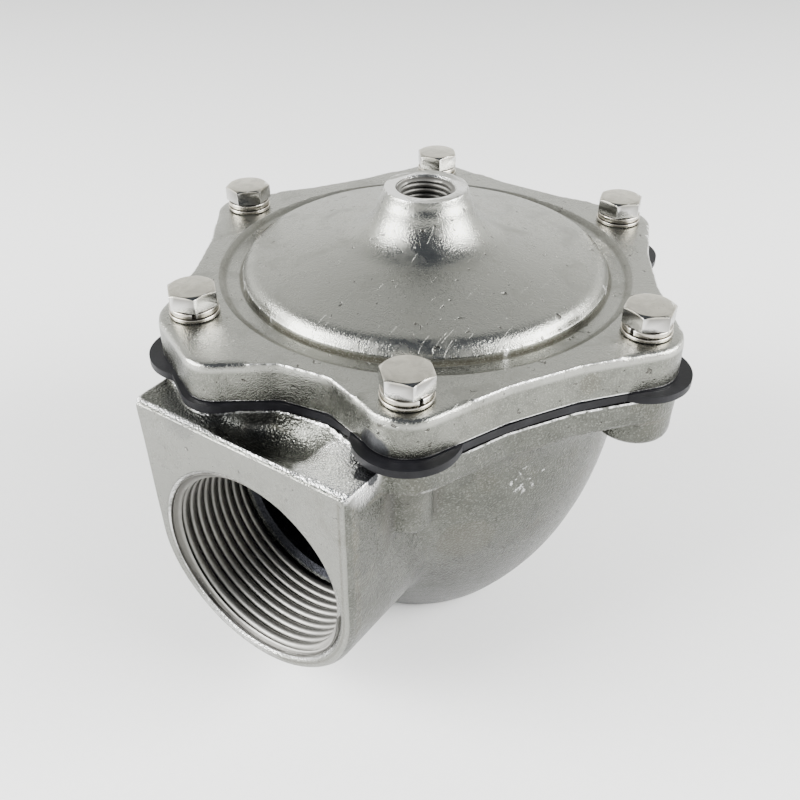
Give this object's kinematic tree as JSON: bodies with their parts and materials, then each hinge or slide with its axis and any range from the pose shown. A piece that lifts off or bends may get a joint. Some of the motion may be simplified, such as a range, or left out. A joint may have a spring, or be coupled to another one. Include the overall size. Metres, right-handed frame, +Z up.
{
  "type": "dust collector pulse valve",
  "caption": "Right-angle diaphragm pulse valve: cast aluminium body and domed cover, threaded side inlet and bottom outlet, central pilot port, rubber diaphragm clamped by hex bolts.",
  "frame": {"origin": "centre of the outlet's face, on the valve axis", "axes": "+Z up along the valve axis towards the pilot port; the inlet faces -Y"},
  "size_m": [0.1344, 0.1277, 0.1027],
  "materials": {
    "cast_aluminium": "as cast, tumbled, semi-gloss with a fine sparkle",
    "plated_steel": "bright nickel-plated steel",
    "black_rubber": "matte black moulded rubber",
    "dark_nylon": "plain dark nylon",
    "spring_steel": "drawn spring wire"
  },
  "bodies": {
    "housing": {"valve_body": "cast_aluminium", "cover": "cast_aluminium", "diaphragm": "black_rubber", "return_spring": "spring_steel", "bolt_1": "plated_steel", "bolt_2": "plated_steel", "bolt_3": "plated_steel", "bolt_4": "plated_steel", "bolt_5": "plated_steel", "bolt_6": "plated_steel", "spring_washer_1": "plated_steel", "spring_washer_2": "plated_steel", "spring_washer_3": "plated_steel", "spring_washer_4": "plated_steel", "spring_washer_5": "plated_steel", "spring_washer_6": "plated_steel", "flat_washer_1": "plated_steel", "flat_washer_2": "plated_steel", "flat_washer_3": "plated_steel", "flat_washer_4": "plated_steel", "flat_washer_5": "plated_steel", "flat_washer_6": "plated_steel"},
    "diaphragm_centre": {"seat_disc": "dark_nylon", "backing_plate": "plated_steel", "centre_screw": "plated_steel", "centre_nut": "plated_steel"}
  },
  "joints": [
    {"name": "diaphragm_lift", "type": "slide", "parent": "housing", "child": "diaphragm_centre", "axis": [0, 0, 1], "range_m": [0, 0.008], "stiffness_N_per_m": 1200, "springref_m": -0.008, "deforming": ["diaphragm", "return_spring"]}
  ]
}
